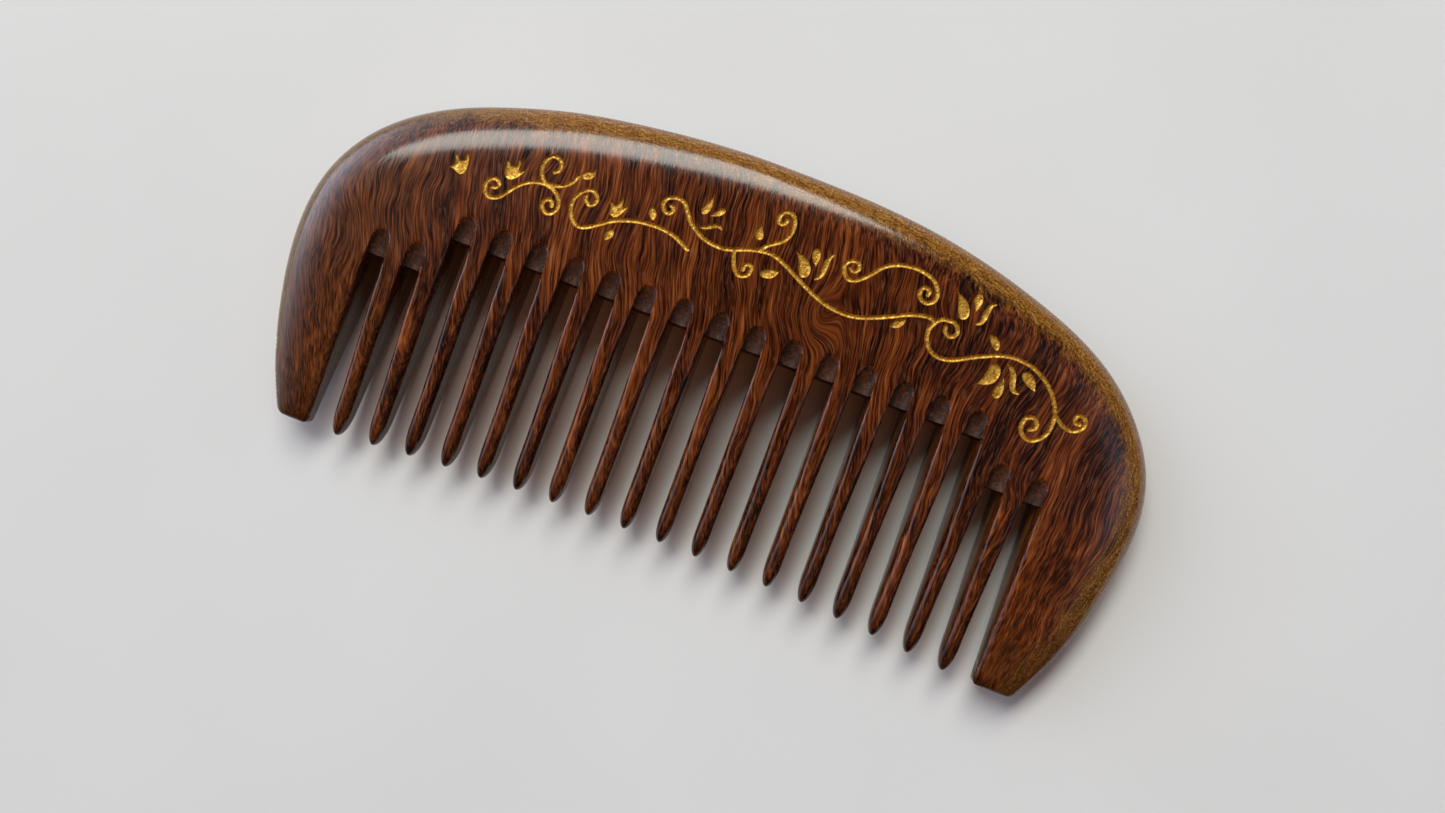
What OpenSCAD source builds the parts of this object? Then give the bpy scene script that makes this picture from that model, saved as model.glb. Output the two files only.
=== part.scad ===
// Wide tooth comb: one flat wooden board with a bullnosed back, 18 fine-tapered
// teeth between two broad end guards, and an engraved vine scroll filled with gold.
// The comb lies flat. X runs along the comb, -Y is the way the teeth point, +Z is up.
// Origin: centre of the bounding box on the face that the comb rests on.

/* [Board] */
// Thickness of the board at its back and at the tooth roots
board_t = 8; // [6:0.5:10]
// In-plane width of the bullnose round along the back and the ends
round_w = 4.4; // [3:0.2:4.4]
// Half-thickness lost between the roots and a point 18 mm further down the teeth
taper_h = 1.75; // [0.5:0.05:2]

/* [Teeth] */
// Width of a tooth at its root
tooth_w = 2.5; // [2:0.1:3]
// Width lost by a tooth over its first 23 mm
tooth_narrow = 0.35; // [0:0.05:0.6]
// Length of the bullet-shaped nose of a tooth
nose_l = 4; // [2:0.5:6]
// Round on the long edges of the teeth
edge_r = 0.7; // [0.3:0.1:0.9]

/* [Root scallops] */
// Radius of the wheel that cuts the scallop at each root
scallop_r = 5.9; // [4:0.1:8]
// Depth of the scallop where it meets the slot
scallop_d = 1.25; // [0.5:0.05:1.6]

/* [Gold inlay] */
// Width of the engraved vine line
line_w = 0.6; // [0.4:0.02:0.6]
// Depth of the engraving
groove_d = 0.5; // [0.3:0.1:1]
// Thickness of the gold in the engraving
fill_t = 0.3; // [0.1:0.05:0.3]

/* [Hidden] */

WOOD = "#5c2c18";
WOOD_DARK = "#4a2212";
GOLD = "#c39a3c";

pitch = 5.14;                 // tooth to tooth
teeth = 18;
gap_w = pitch - tooth_w;      // slot width at the roots
root_hi = 0;                  // root line of the inner slots
root_lo = -5.6;               // root line of the two outer slots at each end
step_x = 7 * pitch + gap_w / 2;       // where the root line steps down
guard_x = 9 * pitch + gap_w / 2;      // inner edge of each end guard
half_t = board_t / 2;
guard_end = -30.6;            // lowest point of the comb
corner_r = 1.2;               // rounded corners of the guard ends

// Outline of the comb, from the right guard's foot, over the back, to the left guard's foot
RIGHT = [[53.4, -31], [55.1, -28], [57.0, -24], [58.5, -20], [59.5, -16], [60.3, -12], [60.9, -8]];
BACK = [
    [61.1, root_lo], [61.1, -3], [60.8, 0], [59.6, 4], [57.2, 8], [54.7, 11], [51.3, 14],
    [48.2, 16], [44.2, 18], [38.8, 20], [32.2, 22], [25, 23.6], [18.5, 24.5], [12, 25],
    [4, 25.2], [-4, 25.2], [-11, 24.8], [-18.5, 24], [-25, 23], [-30, 22], [-36.8, 20],
    [-42.3, 18], [-46.4, 16], [-50.8, 13], [-53.9, 10], [-56.6, 6], [-58.2, 2], [-58.9, -2],
    [-59, root_lo]
];
LEFT = [[-58.8, -9], [-58.4, -12], [-57.6, -16], [-56.6, -20], [-55.3, -24], [-53.7, -28], [-52.1, -31]];
EDGE = concat(RIGHT, BACK, LEFT);
EDGE_N = 3;                   // curve points between two outline points

// ---- curves ----

function cr_point(a, b, c, d, t) =
    0.5 * ((2 * b) + (c - a) * t + (2 * a - 5 * b + 4 * c - d) * t * t
           + (3 * b - a - 3 * c + d) * t * t * t);

// A smooth curve through every point of P, with n steps between neighbours
function curve(P, n) =
    let (m = len(P), E = concat([2 * P[0] - P[1]], P, [2 * P[m - 1] - P[m - 2]]))
    concat([for (i = [1 : m - 1], k = [0 : n - 1]) cr_point(E[i - 1], E[i], E[i + 1], E[i + 2], k / n)],
           [P[m - 1]]);

function unit(v) = v / norm(v);
function tangent(C, i) = unit(C[min(len(C) - 1, i + 1)] - C[max(0, i - 1)]);
function left_of(v) = [-v[1], v[0]];
function rev(L) = [for (i = [len(L) - 1 : -1 : 0]) L[i]];

// Distance along a curve at each of its points, as a share of the whole
function share(C) =
    let (S = [for (i = 0, s = 0; i < len(C); s = s + (i + 1 < len(C) ? norm(C[i + 1] - C[i]) : 0), i = i + 1) s])
    [for (s = S) s / S[len(S) - 1]];

// An engraved line of width w with round ends
function stroke(P, w, n = 4) =
    let (C = curve(P, n), m = len(C) - 1, h = w / 2,
         a0 = atan2(tangent(C, 0)[1], tangent(C, 0)[0]),
         a1 = atan2(tangent(C, m)[1], tangent(C, m)[0]))
    concat([for (i = [0 : m]) C[i] + h * left_of(tangent(C, i))],
           [for (a = [60, 20, -20, -60]) C[m] + h * [cos(a1 + a), sin(a1 + a)]],
           [for (i = [m : -1 : 0]) C[i] - h * left_of(tangent(C, i))],
           [for (a = [240, 200, 160, 120]) C[0] + h * [cos(a0 + a), sin(a0 + a)]]);

// Half-width of a leaf at t: pointed at 0, fullest at f, round or pointed at 1
function leaf_h(t, w, f, round_end, p) =
    t < f ? w / 2 * pow(sin(90 * t / f), p)
    : round_end ? w / 2 * sqrt(max(0, 1 - pow((t - f) / (1 - f), 2)))
    : w / 2 * pow(max(0, sin(90 * (1 - t) / (1 - f))), p);

// A leaf along a curve. The half-width at the very ends is kept off zero, so that they close cleanly
function leaf(L) =
    let (C = curve(L[0], 5), T = share(C), m = len(C) - 1,
         H = [for (t = T) max(0.03, leaf_h(t, L[1], L[2], L[3], L[4]))])
    concat([for (i = [0 : m]) C[i] + H[i] * left_of(tangent(C, i))],
           [for (i = [m : -1 : 0]) C[i] - H[i] * left_of(tangent(C, i))]);

// ---- ornament, all in comb coordinates: the root line is y = 0 and the middle slot is x = 0 ----

S1 = [[-34.8, 8.3], [-34.3, 8.4], [-34, 8.9], [-34.4, 9.4], [-35.1, 9.4], [-35.7, 8.6], [-35.5, 7.5],
      [-34.6, 6.9], [-33.5, 7.3], [-32.7, 8.2], [-31.8, 9.4], [-30.8, 10.3], [-29.6, 10.9], [-28.3, 11.1],
      [-27, 10.8], [-26.1, 10.1], [-25.6, 9.1], [-25.7, 8.3], [-26.2, 7.7], [-26.9, 7.6], [-27.6, 8.2], [-27.6, 8.9], [-27.1, 9.4], [-26.6, 9.2], [-26.4, 8.7]];
S1_UP = [[-27.6, 13], [-27.2, 13.4], [-27.1, 14.1], [-27.4, 14.7], [-28.1, 15], [-28.8, 14.8],
         [-29.3, 14], [-29.4, 13], [-29, 12], [-28.3, 11.2]];
S1_SIDE = [[-28.3, 11.2], [-27.5, 11.3], [-26.4, 11.5], [-25.4, 12.1], [-24.8, 12.8], [-24.5, 13.6]];
S2 = [[-22.6, 11.6], [-22.4, 11], [-21.8, 10.6], [-21.3, 10.8], [-21, 11.4], [-21.3, 12.1], [-22, 12.5],
      [-22.9, 12.2], [-23.6, 11.4], [-24, 10.3], [-23.8, 9], [-23.2, 8], [-22.2, 7.4], [-21, 7.7],
      [-19.5, 8.7], [-18, 9.7], [-16, 10.5], [-14, 10.9], [-12, 11], [-10, 10.7], [-8.5, 10.1], [-7.5, 9.6]];
S3 = [[-11.6, 14.3], [-11.2, 14.1], [-11.1, 13.6], [-11.5, 13.2], [-12.1, 13.3], [-12.6, 14], [-12.5, 14.8],
      [-11.9, 15.3], [-10.9, 15.5], [-10, 15.2], [-9.2, 14.2], [-8.3, 13.1], [-7.2, 12.3], [-6, 11.7],
      [-4.5, 11.4], [-3, 11.4], [-1.6, 11.8], [0, 12.4], [1.6, 12.8], [3.2, 12.9], [4.8, 12.4], [6.5, 11.6],
      [8.5, 10.6], [10.5, 9.7], [12.5, 9.1], [14.5, 8.9], [16.5, 9.1], [18.5, 9.8], [20.5, 10.7],
      [22.5, 11.7], [24, 12.2], [25.2, 12.4], [26.2, 12.2]];
S3_DOWN = [[0.3, 9.7], [0.3, 10.2], [0.7, 10.6], [1.2, 10.4], [1.3, 9.8], [1, 9.1], [0.1, 8.8], [-0.5, 9.1],
           [-1, 9.8], [-1.4, 10.8], [-1.7, 11.8]];
S3_UP = [[3.5, 17.9], [3.4, 17.4], [3, 17.1], [2.5, 17.3], [2.4, 18], [2.8, 18.7], [3.5, 18.9], [4.2, 18.5],
         [4.6, 17.6], [4.6, 16.4], [4.12, 15.25], [3.22, 14.5], [2.25, 13.8], [1.5, 12.9]];
S4 = [[13.4, 14.9], [13.8, 14.6], [14.3, 14.7], [14.5, 15.2], [14.2, 15.8], [13.6, 15.9], [13, 15.6],
      [12.6, 14.9], [12.9, 14], [13.6, 13.4], [14.5, 13.5], [15.5, 14.2], [16.4, 15.2], [17.3, 16.3],
      [18.4, 17.1], [19.8, 17.6], [21.4, 17.8], [23, 17.6], [24.2, 17.1], [25, 16.2], [25.3, 15.2],
      [25, 14.4], [24.2, 14], [23.4, 14.3], [23, 14.9], [23.1, 15.6], [23.6, 15.9], [24.1, 15.6], [24.1, 15.1]];
S5 = [[27.7, 12], [27.9, 11.4], [28.4, 11], [29, 11.1], [29.4, 11.7], [29.2, 12.4], [28.6, 12.9], [27.8, 12.9],
      [26.9, 12.7], [26.2, 11.9], [25.8, 10.8], [26, 9.6], [26.7, 8.6], [27.8, 8], [29.2, 8], [30.6, 8.5],
      [32.2, 9.4], [33.8, 10.2], [35.4, 10.9], [37, 11.3], [38.6, 11.3], [40.2, 11], [41.8, 10.2], [43.2, 9.1],
      [44.2, 7.8], [44.9, 6.3], [45, 4.9], [44.8, 3.6], [44, 2.5], [43, 2], [42, 2.3], [41.4, 3.1],
      [41.4, 4.1], [41.8, 4.7], [42.6, 4.9], [43.1, 4.5], [43.2, 3.9], [42.9, 3.5], [42.5, 3.3]];
S5_SIDE = [[48.3, 6.2], [47.8, 6.2], [47.5, 6.7], [47.7, 7.2], [48.3, 7.3], [48.8, 7], [49, 6.3],
           [48.6, 5.6], [47.8, 5.1], [46.8, 5.1], [45.8, 5.6], [44.9, 6.3]];

// Each leaf: its curve from the tip, its width, where it is fullest, whether its far end is round, how full it is
LEAVES = [
    [[[-22.6, 15.2], [-22.9, 14.5], [-23.5, 14.1], [-24.2, 13.9]], 1.25, 0.55, true, 1],
    [[[-18.2, 6.9], [-17.9, 7.8], [-17.8, 8.8]], 1.1, 0.6, false, 0.8],
    [[[-13.1, 11.6], [-13.5, 12.5], [-13.9, 13.4]], 1, 0.45, false, 0.7],
    [[[-6.7, 17.6], [-6.8, 16.6], [-7, 15.6], [-7.4, 14.7]], 1.05, 0.72, true, 1.2],
    [[[-6.2, 14.8], [-5.4, 15.5], [-4.6, 16.3]], 0.95, 0.65, true, 1],
    [[[-4.1, 13.6], [-4.7, 13.9], [-5.4, 13.7], [-6.2, 13.2], [-7, 12.9]], 0.66, 0.5, false, 0.5],
    [[[0.47, 16.12], [0.57, 15.32], [0.95, 14.05]], 1.12, 0.7, true, 0.9],
    [[[4.9, 11.1], [3.9, 10.5], [2.6, 9.9]], 1.35, 0.5, true, 0.9],
    [[[6, 14.4], [6.9, 13.9], [7.6, 13.1], [7.92, 12.3], [7.82, 11.42]], 1.6, 0.7, true, 1.1],
    [[[9.1, 13.4], [8.8, 14.4], [8.4, 15.8]], 1.1, 0.6, true, 1],
    [[[11, 15.8], [10.5, 15.3], [10.3, 14.4], [10.3, 13.3], [10.1, 12.4], [9.5, 11.7]], 0.75, 0.5, false, 0.5],
    [[[20.95, 9.45], [21.75, 10.15], [22.6, 11.05]], 1.05, 0.5, false, 0.7],
    [[[27.6, 16.9], [28.4, 16.1], [29, 15.2], [29.3, 14.4], [29.3, 13.6]], 1.58, 0.7, true, 1.2],
    [[[30.7, 15.3], [30.6, 16.3], [30.4, 17.8]], 1.16, 0.6, true, 1],
    [[[33, 17.1], [32.4, 16.7], [32.1, 15.8], [32, 14.9], [31.8, 14.1], [31.1, 13.6]], 0.8, 0.5, false, 0.5],
    [[[33.5, 13.2], [34.4, 12.4], [35.1, 11.4]], 1.12, 0.55, false, 0.7],
    [[[34.1, 6.5], [35.1, 7.4], [35.6, 8.5], [35.5, 9.9]], 1.8, 0.6, true, 1],
    [[[37.1, 8.5], [37.1, 7.4], [36.9, 5.5]], 1.22, 0.72, true, 1.2],
    [[[36.9, 10.3], [37.6, 9.9], [38.1, 9.1], [38.4, 8.1], [38.8, 7.3], [39.7, 7.1]], 0.86, 0.5, false, 0.6],
    [[[41.4, 8.2], [40.4, 9.2], [39.2, 10.1]], 1.4, 0.6, true, 0.8]
];
// Each bud: round below, with pointed petals
BUDS = [
    [[-39.33, 8.35], [-38.98, 8.62], [-38.83, 9.16], [-38.8, 9.76], [-38.89, 10.44], [-39.18, 11.17], [-39.59, 11.49], [-39.48, 10.91], [-39.53, 10.6], [-39.82, 10.36], [-40.12, 10.2], [-40.67, 10.7], [-41.11, 10.83], [-40.71, 10.12], [-40.61, 9.54], [-40.8, 9.18], [-41.1, 8.83], [-40.62, 8.73], [-40.19, 8.6], [-39.75, 8.39]],
    [[-32.63, 10.07], [-32.18, 10.45], [-31.77, 10.93], [-31.46, 11.5], [-31.41, 12.11], [-31.74, 11.79], [-32.01, 11.55], [-32.21, 11.71], [-32.22, 12.09], [-32.19, 12.53], [-32.4, 12.93], [-32.68, 12.92], [-32.62, 12.34], [-32.79, 12.04], [-33.13, 11.99], [-33.48, 11.91], [-33.92, 12.41], [-34.18, 12.36], [-34.03, 11.77], [-34.05, 11.29], [-33.98, 10.72], [-33.67, 10.22], [-33.17, 9.93]],
    [[-17.72, 10.32], [-17.34, 10.91], [-17.06, 11.38], [-16.83, 11.89], [-16.74, 12.53], [-17.08, 12.17], [-17.36, 11.92], [-17.61, 12.02], [-17.59, 12.59], [-17.88, 13.15], [-17.95, 12.6], [-18.15, 12.25], [-18.54, 11.91], [-18.95, 11.99], [-19.54, 12.05], [-19.02, 11.42], [-18.96, 10.92], [-18.83, 10.36], [-18.21, 10.11]]
];

// ---- board ----

// Half-thickness of the board at y: full down to the outer roots, then tapering to the tips
function half_at(y) = y >= root_lo ? half_t : half_t - taper_h * pow((root_lo - y) / 18, 1.35);

// Where a tooth ends: the tips lie on a shallow arc
function tip_y(x) = -28.1 - 2.4 * pow(x / 45, 2);
function tooth_x(k) = (k - 9.5) * pitch;
function tooth_root(k) = (k <= 2 || k >= 17) ? root_lo : root_hi;

// Triangles between rings of equal length, with a flat face at each end
module loft(R, flip = false) {
    n = len(R[0]);
    m = len(R);
    sides = [for (i = [0 : m - 2], k = [0 : n - 1])
        let (a = i * n + k, b = i * n + (k + 1) % n, c = a + n, d = b + n)
        each [[a, b, d], [a, d, c]]];
    caps = [[for (k = [n - 1 : -1 : 0]) k], [for (k = [0 : n - 1]) (m - 1) * n + k]];
    faces = concat(sides, caps);
    polyhedron(points = [for (r = R) each r], faces = flip ? faces : [for (f = faces) rev(f)]);
}

// One ring of a tooth at y: a rectangle with rounded corners
function tooth_ring(x, y, w, h) =
    let (r = min(edge_r, w * 0.45, h * 0.9))
    [for (q = [[1, 1, 0], [-1, 1, 90], [-1, -1, 180], [1, -1, 270]], a = [0, 30, 60, 90])
        [x + q[0] * (w / 2 - r) + r * cos(q[2] + a), y, q[1] * (h - r) + r * sin(q[2] + a)]];

module tooth(k) {
    x = tooth_x(k);
    y0 = tooth_root(k);
    y1 = tip_y(x);
    yn = y1 + nose_l;
    full = [for (s = [0 : 5]) y0 + (yn - y0) * s / 5];
    nose = [for (u = [0.3, 0.5, 0.68, 0.82, 0.92, 0.98, 1]) yn - nose_l * u];
    color(WOOD_DARK)
    loft([for (y = concat(y0 == root_hi ? [y0, root_lo] : [y0], [for (y = full) if (y < root_lo - 0.1) y], nose))
        let (u = y < yn ? (yn - y) / nose_l : 0,
             e = pow(max(0.012, 1 - pow(u, 2.4)), 0.5),
             w = (tooth_w - tooth_narrow * min(1, (y0 - y) / 23)) * e,
             h = half_at(y) * (0.25 + 0.75 * e))
        tooth_ring(x, y, w, h)]);
}

function corner_in(v) = v >= corner_r ? 0 : corner_r - sqrt(max(0, corner_r * corner_r - pow(corner_r - v, 2)));

// Outline x at a height y on one side, read off the smooth outline
function edge_x(C, y) =
    let (c = [for (i = [0 : len(C) - 2]) if ((C[i][1] - y) * (C[i + 1][1] - y) <= 0 && C[i][1] != C[i + 1][1])
        C[i] + (C[i + 1] - C[i]) * (y - C[i][1]) / (C[i + 1][1] - C[i][1])])
    c[0][0];

OUT = curve(EDGE, EDGE_N);
mid_x = (max([for (p = OUT) p[0]]) + min([for (p = OUT) p[0]])) / 2;
mid_y = (max([for (p = OUT) p[1]]) + guard_end) / 2;
OUT_R = [for (i = [0 : len(RIGHT) * EDGE_N]) OUT[i]];
OUT_L = [for (i = [(len(RIGHT) + len(BACK) - 1) * EDGE_N : len(OUT) - 1]) OUT[i]];
LEVELS = [for (k = [0 : 12]) 90 - 15 * k];

// One ring of an end guard: u runs outwards from the inner edge
function guard_ring(side, y) =
    let (xo = abs(edge_x(side > 0 ? OUT_R : OUT_L, y)),
         v = y - guard_end,
         xi = guard_x + 0.25 * (root_lo - y) / 25 + corner_in(v),
         U = xo - corner_in(v) - xi,
         e = v >= 2.5 ? 1 : 0.35 + 0.65 * sqrt(1 - pow(1 - v / 2.5, 2)),
         h = half_at(y) * e,
         r = min(edge_r, h * 0.9),
         w = min(round_w, U - r - 0.2),
         Q = concat([for (a = [180, 150, 120, 90]) [r + r * cos(a), h - r + r * sin(a)]],
                    [for (t = LEVELS) [U - w + w * cos(t), h * sin(t)]],
                    [for (a = [270, 240, 210, 180]) [r + r * cos(a), -h + r + r * sin(a)]]))
    [for (q = Q) [side * (xi + q[0]), y, q[1]]];

module end_guard(side) {
    ys = concat([for (y = [0 : 6]) root_lo - y * 3], [for (v = [4.5, 2.6, 1.6, 1.1, 0.6, 0.3, 0.1, 0]) guard_end + v]);
    color(WOOD) loft([for (y = ys) guard_ring(side, y)], side > 0);
}

// The spine is a flat core with a bullnosed rim around its back and ends
SPINE = [for (i = [len(RIGHT) * EDGE_N : (len(RIGHT) + len(BACK) - 1) * EDGE_N]) i];
function snap(p) = [for (v = p) round(v * 1000) / 1000];
function outwards(i) = i == SPINE[0] ? [1, 0] : i == SPINE[len(SPINE) - 1] ? [-1, 0] : -left_of(tangent(OUT, i));
function rim_point(i, d) = snap(OUT[i] - outwards(i) * d);

module core_2d() polygon(concat([for (i = SPINE) rim_point(i, round_w)],
    [[-step_x, root_lo], [-step_x, root_hi], [step_x, root_hi], [step_x, root_lo]]));

module rim() loft([for (i = SPINE) [for (t = LEVELS)
    let (p = rim_point(i, round_w * (1 - cos(t)))) [p[0], p[1], round(half_t * sin(t) * 1000) / 1000]]]);

// The wheel that cuts the scallop at the root of slot g, on the face at side s
module scallop(g, s) {
    x = (g - 10) * pitch;
    y = (g <= 2 || g >= 18) ? root_lo : root_hi;
    translate([x - gap_w / 2, y, s * (half_t - scallop_d + scallop_r)])
        rotate([0, 90, 0]) cylinder(r = scallop_r, h = gap_w, $fn = 64);
}

// ---- ornament as flat shapes ----

module vine_left_2d() {
    polygon(stroke(S1, line_w));
    polygon(stroke(S1_UP, line_w));
    polygon(stroke(S1_SIDE, line_w));
}
module vine_arch_2d() polygon(stroke(S2, line_w));
module vine_main_2d() {
    polygon(stroke(S3, line_w));
    polygon(stroke(S3_DOWN, line_w));
    polygon(stroke(S3_UP, line_w));
    polygon(stroke(S5, line_w));
    polygon(stroke(S5_SIDE, line_w));
}
module vine_top_2d() polygon(stroke(S4, line_w));
module bud_2d(i) polygon(BUDS[i]);
module leaf_2d(i) polygon(leaf(LEAVES[i]));

// A pocket that opens through the face, and the gold at its bottom
module pocket() translate([0, 0, half_t - groove_d]) linear_extrude(groove_d + 0.2) children();
module gold() color(GOLD) translate([-mid_x, -mid_y, board_t - groove_d]) linear_extrude(fill_t) children();
module place() translate([-mid_x, -mid_y, half_t]) children();

module spine() place() color(WOOD) {
    difference() {
        translate([0, 0, -half_t]) linear_extrude(board_t) core_2d();
        for (g = [1 : teeth + 1], s = [-1, 1]) scallop(g, s);
        pocket() vine_left_2d();
        pocket() vine_arch_2d();
        pocket() vine_main_2d();
        pocket() vine_top_2d();
        for (i = [0 : len(BUDS) - 1]) pocket() bud_2d(i);
        for (i = [0 : len(LEAVES) - 1]) pocket() leaf_2d(i);
    }
    rim();
}
module end_guard_left() place() end_guard(-1);
module end_guard_right() place() end_guard(1);

spine();
end_guard_left();
end_guard_right();
place() tooth(1);  // tooth_01
place() tooth(2);  // tooth_02
place() tooth(3);  // tooth_03
place() tooth(4);  // tooth_04
place() tooth(5);  // tooth_05
place() tooth(6);  // tooth_06
place() tooth(7);  // tooth_07
place() tooth(8);  // tooth_08
place() tooth(9);  // tooth_09
place() tooth(10);  // tooth_10
place() tooth(11);  // tooth_11
place() tooth(12);  // tooth_12
place() tooth(13);  // tooth_13
place() tooth(14);  // tooth_14
place() tooth(15);  // tooth_15
place() tooth(16);  // tooth_16
place() tooth(17);  // tooth_17
place() tooth(18);  // tooth_18
gold() vine_left_2d();  // vine_left
gold() vine_arch_2d();  // vine_arch
gold() vine_main_2d();  // vine_main
gold() vine_top_2d();  // vine_top
gold() bud_2d(0);  // bud_left
gold() bud_2d(1);  // bud_middle
gold() bud_2d(2);  // bud_right
gold() leaf_2d(0);  // leaf_01
gold() leaf_2d(1);  // leaf_02
gold() leaf_2d(2);  // leaf_03
gold() leaf_2d(3);  // leaf_04
gold() leaf_2d(4);  // leaf_05
gold() leaf_2d(5);  // leaf_06
gold() leaf_2d(6);  // leaf_07
gold() leaf_2d(7);  // leaf_08
gold() leaf_2d(8);  // leaf_09
gold() leaf_2d(9);  // leaf_10
gold() leaf_2d(10);  // leaf_11
gold() leaf_2d(11);  // leaf_12
gold() leaf_2d(12);  // leaf_13
gold() leaf_2d(13);  // leaf_14
gold() leaf_2d(14);  // leaf_15
gold() leaf_2d(15);  // leaf_16
gold() leaf_2d(16);  // leaf_17
gold() leaf_2d(17);  // leaf_18
gold() leaf_2d(18);  // leaf_19
gold() leaf_2d(19);  // leaf_20
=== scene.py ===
"""The looks of a wide tooth comb: one board of dark hardwood with an engraved vine scroll filled with gold.

Shapes are built in millimetres in comb coordinates (the root line is y = 0, the middle slot is x = 0, the mid-plane
of the board is z = 0), with the same sizes and points as the CAD, and are written to meshes in metres in the row frame.
"""

import math

import bmesh
import bpy
import numpy as np
from mathutils import Matrix, Quaternion, Vector, noise
from mathutils.geometry import delaunay_2d_cdt


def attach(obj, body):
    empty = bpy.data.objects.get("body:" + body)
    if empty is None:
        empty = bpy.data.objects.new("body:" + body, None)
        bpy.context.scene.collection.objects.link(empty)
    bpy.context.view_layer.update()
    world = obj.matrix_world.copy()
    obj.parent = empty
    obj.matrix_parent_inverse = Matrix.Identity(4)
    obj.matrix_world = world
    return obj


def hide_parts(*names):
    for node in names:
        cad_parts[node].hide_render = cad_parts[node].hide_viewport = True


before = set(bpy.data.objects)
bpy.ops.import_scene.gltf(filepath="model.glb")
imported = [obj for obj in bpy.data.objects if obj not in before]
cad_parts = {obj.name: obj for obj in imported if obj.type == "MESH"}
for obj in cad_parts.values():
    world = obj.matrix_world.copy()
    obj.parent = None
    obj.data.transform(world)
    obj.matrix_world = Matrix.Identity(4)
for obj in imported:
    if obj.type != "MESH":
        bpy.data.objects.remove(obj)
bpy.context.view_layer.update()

# ---------------------------------------------------------------- camera

cam = bpy.data.objects.new("camera", bpy.data.cameras.new("camera"))
bpy.context.scene.collection.objects.link(cam)
cam.data.sensor_width = 36.0
cam.data.lens = 27.03
cam.data.clip_start, cam.data.clip_end = 0.005, 20.0
RIGHT_AXIS = Vector((0.933612, 0.356589, -0.034816))
DOWN_AXIS = Vector((0.355897, -0.934201, -0.02461))
LOOK_AXIS = Vector((-0.041301, 0.010585, -0.999091))
cam.matrix_world = Matrix.Translation((0.00906, -0.00689, 0.15003)) @ Matrix(
    (RIGHT_AXIS, -DOWN_AXIS, -LOOK_AXIS)
).transposed().to_4x4()
bpy.context.scene.camera = cam

# ---------------------------------------------------------------- sizes, as in the CAD

PITCH, TEETH = 5.14, 18
TOOTH_W, TOOTH_NARROW, NOSE = 2.5, 0.35, 4.0
GAP = PITCH - TOOTH_W
HALF, TAPER = 4.0, 1.75
ROOT_HI, ROOT_LO = 0.0, -5.6
GUARD_X = 9 * PITCH + GAP / 2
FOOT_R, FOOT_L = -30.55, -30.35
WHEEL_R, WHEEL_D, WHEEL_C = 5.9, 1.25, 1.25
LINE_W, GROOVE = 0.6, 0.5
BULL = 7.0
MID = np.array([1.05, -2.68])

RIGHT = [(53.4, -31), (55.1, -28), (57.0, -24), (58.5, -20), (59.5, -16), (60.3, -12), (60.9, -8)]
BACK = [
    (61.1, -5.6), (61.1, -3), (60.8, 0), (59.6, 4), (57.2, 8), (54.7, 11), (51.3, 14), (48.2, 16), (44.2, 18),
    (38.8, 20), (32.2, 22), (25, 23.6), (18.5, 24.5), (12, 25), (4, 25.2), (-4, 25.2), (-11, 24.8), (-18.5, 24),
    (-25, 23), (-30, 22), (-36.8, 20), (-42.3, 18), (-46.4, 16), (-50.8, 13), (-53.9, 10), (-56.6, 6), (-58.2, 2),
    (-58.9, -2), (-59, -5.6),
]
LEFT = [(-58.8, -9), (-58.4, -12), (-57.6, -16), (-56.6, -20), (-55.3, -24), (-53.7, -28), (-52.1, -31)]


def catmull(points, n):
    """A smooth curve through every point, with n steps between neighbours."""
    P = np.array(points, float)
    E = np.vstack([2 * P[0] - P[1], P, 2 * P[-1] - P[-2]])
    out = []
    for i in range(1, len(E) - 2):
        a, b, c, d = E[i - 1 : i + 3]
        for k in range(n):
            t = k / n
            out.append(
                0.5 * (2 * b + (c - a) * t + (2 * a - 5 * b + 4 * c - d) * t * t + (3 * b - a - 3 * c + d) * t**3)
            )
    out.append(P[-1])
    return np.array(out)


def lengths(P):
    return np.concatenate([[0], np.cumsum(np.linalg.norm(np.diff(P, axis=0), axis=1))])


def resample(P, step):
    L = lengths(P)
    n = max(2, int(round(L[-1] / step)) + 1)
    s = np.linspace(0, L[-1], n)
    return np.stack([np.interp(s, L, P[:, 0]), np.interp(s, L, P[:, 1])], 1)


def tangents(P):
    t = np.gradient(P, axis=0)
    return t / np.linalg.norm(t, axis=1)[:, None]


def blur(P, sigma, step):
    n = int(4 * sigma / step)
    k = np.arange(-n, n + 1) * step
    w = np.exp(-0.5 * (k / sigma) ** 2)
    w /= w.sum()
    j = np.arange(n, 0, -1)[:, None]
    E = np.vstack([P[0] + j * (P[0] - P[1]), P, P[-1] + j[::-1] * (P[-1] - P[-2])])
    return np.stack([np.convolve(E[:, 0], w, "valid"), np.convolve(E[:, 1], w, "valid")], 1)


# The outline, faired so that the bullnose reflects evenly, and a hair inside the CAD's
fine = resample(catmull(RIGHT + BACK + LEFT, 12), 0.25)
once = blur(fine, 3.0, 0.25)
fine = 2 * once - blur(once, 3.0, 0.25)
t = tangents(fine)
fine = fine + 0.03 * np.stack([-t[:, 1], t[:, 0]], 1)


def cut_below(P, y, at_start):
    if at_start:
        i = np.nonzero(P[:, 1] >= y)[0][0]
        a, b = P[i - 1], P[i]
        return np.vstack([a + (b - a) * (y - a[1]) / (b[1] - a[1]), P[i:]])
    i = np.nonzero(P[:, 1] >= y)[0][-1]
    a, b = P[i], P[i + 1]
    return np.vstack([P[: i + 1], a + (b - a) * (y - a[1]) / (b[1] - a[1])])


outer = cut_below(cut_below(fine, FOOT_R, True), FOOT_L, False)


def half_at(y):
    """Half-thickness at y: full down to the outer roots, then tapering to the tips."""
    return HALF - TAPER * (np.maximum(0, ROOT_LO - y) / 18) ** 1.35


def tooth_x(k):
    return (k - 9.5) * PITCH


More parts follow.
